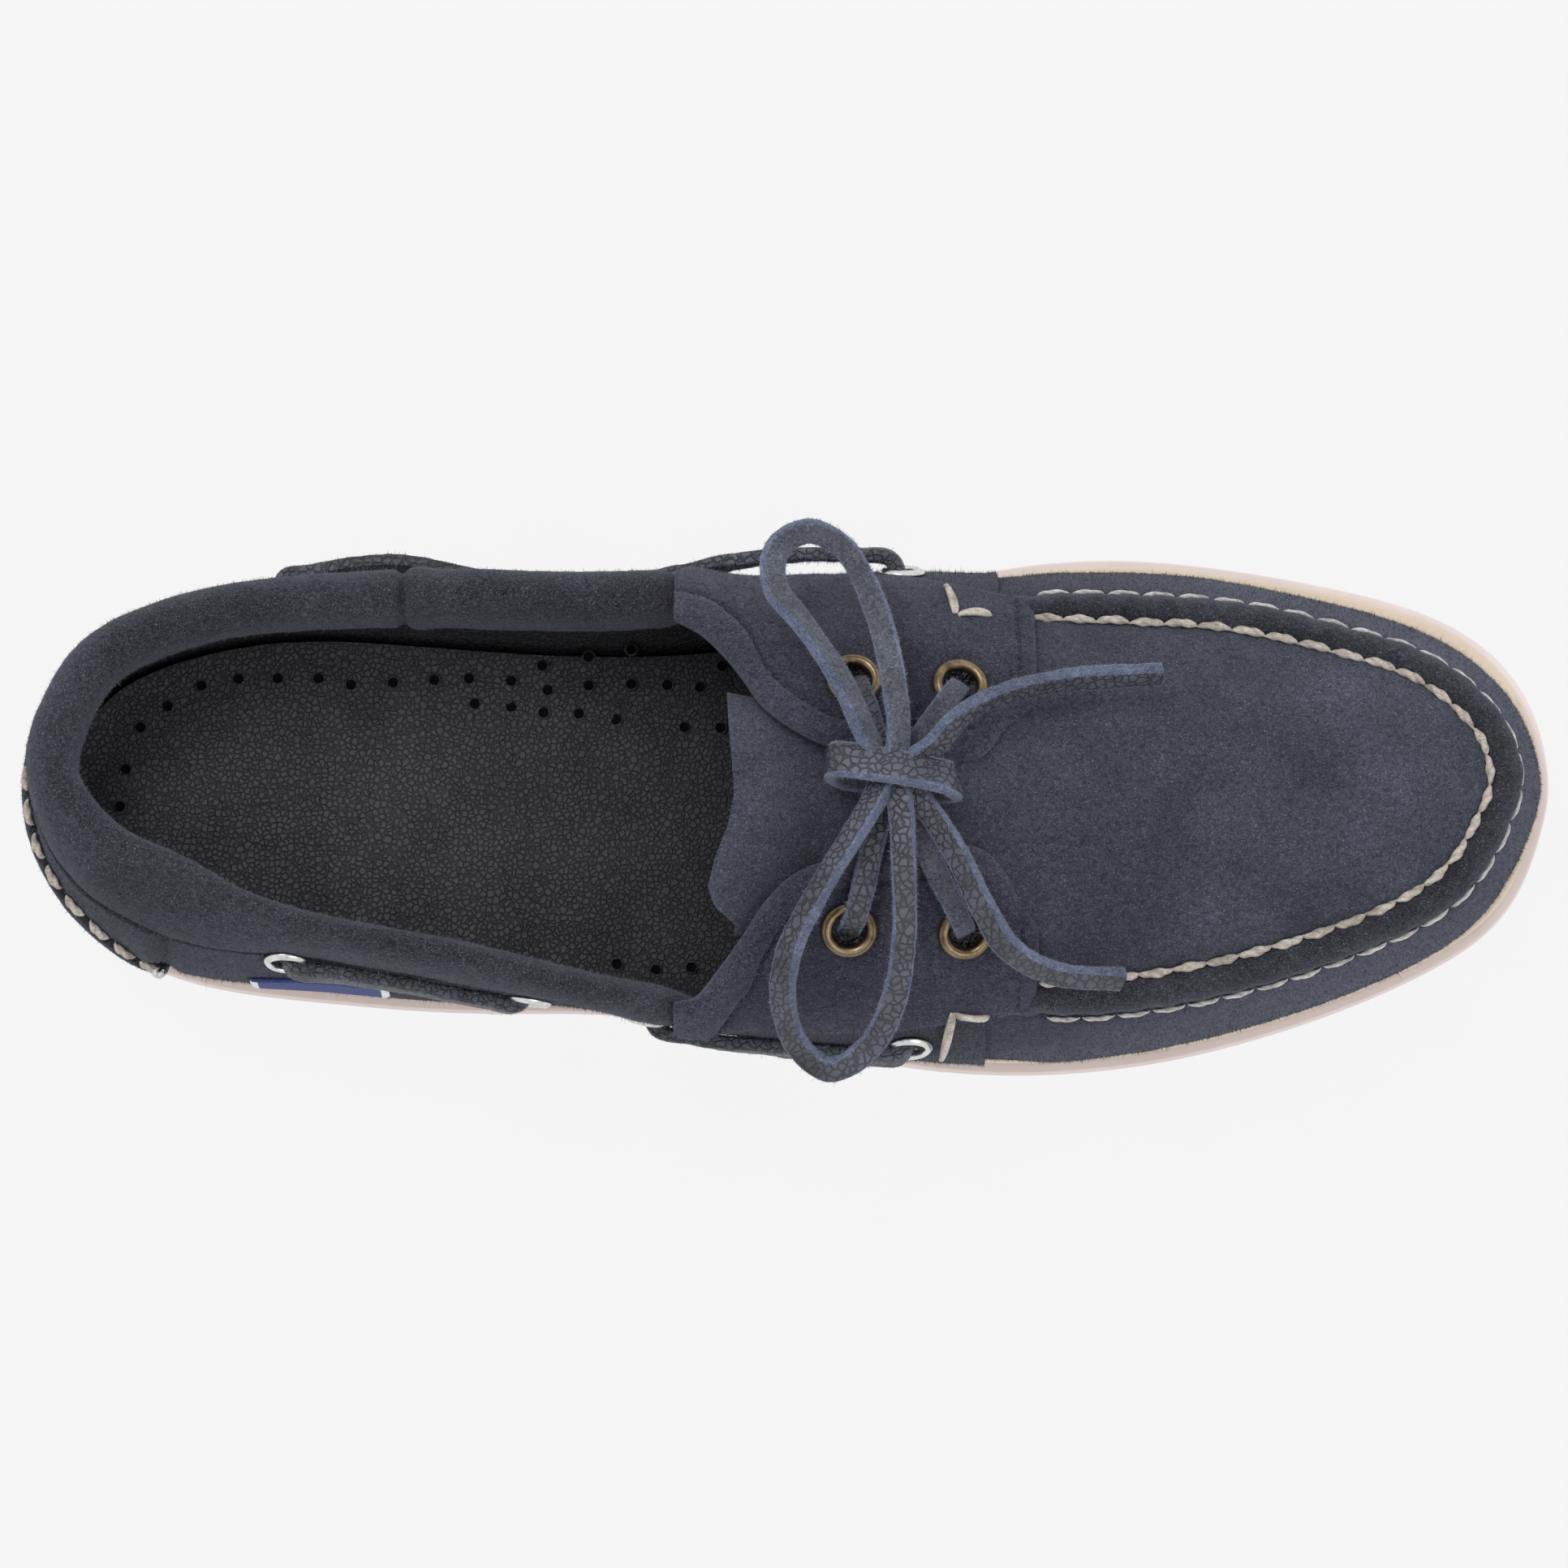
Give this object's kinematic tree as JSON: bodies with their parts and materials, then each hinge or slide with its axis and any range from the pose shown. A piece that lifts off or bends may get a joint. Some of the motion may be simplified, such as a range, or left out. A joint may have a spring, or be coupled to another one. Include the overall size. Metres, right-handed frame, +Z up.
{
  "type": "boat shoe",
  "caption": "Right boat shoe: hollow suede upper with raised toe seam, padded collar, tongue, eyelets and tied hide lace on a heeled rubber sole.",
  "frame": {"origin": "middle of the bounding box on the floor, measured without the bow and its ends", "axes": "+X along the shoe to the toe, +Y to the inner side of the foot, +Z up"},
  "size_m": [0.2975, 0.1096, 0.0824],
  "materials": {
    "sole_white": "matt moulded rubber, off-white",
    "sole_beige": "matt moulded rubber, beige",
    "insole_leather": "smooth dark grey leather with a soft grain",
    "suede": "dark navy suede with a short nap",
    "suede_light": "blue-grey suede with a short nap",
    "woven_label": "plain woven blue tape with white ends",
    "brass": "aged brass, satin",
    "nickel": "polished nickel plate",
    "lace_hide": "blue-grey hide, grain on one face and nap on the other"
  },
  "bodies": {
    "root": {"outsole": "sole_white", "midsole": "sole_beige", "insole": "insole_leather", "upper": "suede", "tongue": "suede_light", "collar": "suede", "eyestay_inner": "suede", "eyestay_outer": "suede", "heel_counter": "suede", "label": "woven_label", "eyelet_inner_front": "brass", "eyelet_inner_rear": "brass", "eyelet_outer_front": "brass", "eyelet_outer_rear": "brass", "ring_inner_1": "nickel", "ring_inner_2": "nickel", "ring_inner_3": "nickel", "ring_inner_4": "nickel", "ring_outer_1": "nickel", "ring_outer_2": "nickel", "ring_outer_3": "nickel", "ring_outer_4": "nickel", "lace_inner_rear": "lace_hide", "lace_inner_front": "lace_hide", "lace_outer_rear": "lace_hide", "lace_outer_front": "lace_hide", "lace_crossing": "lace_hide", "knot": "lace_hide", "loop_inner": "lace_hide", "loop_outer": "lace_hide", "end_inner": "lace_hide", "end_outer": "lace_hide"}
  },
  "joints": []
}
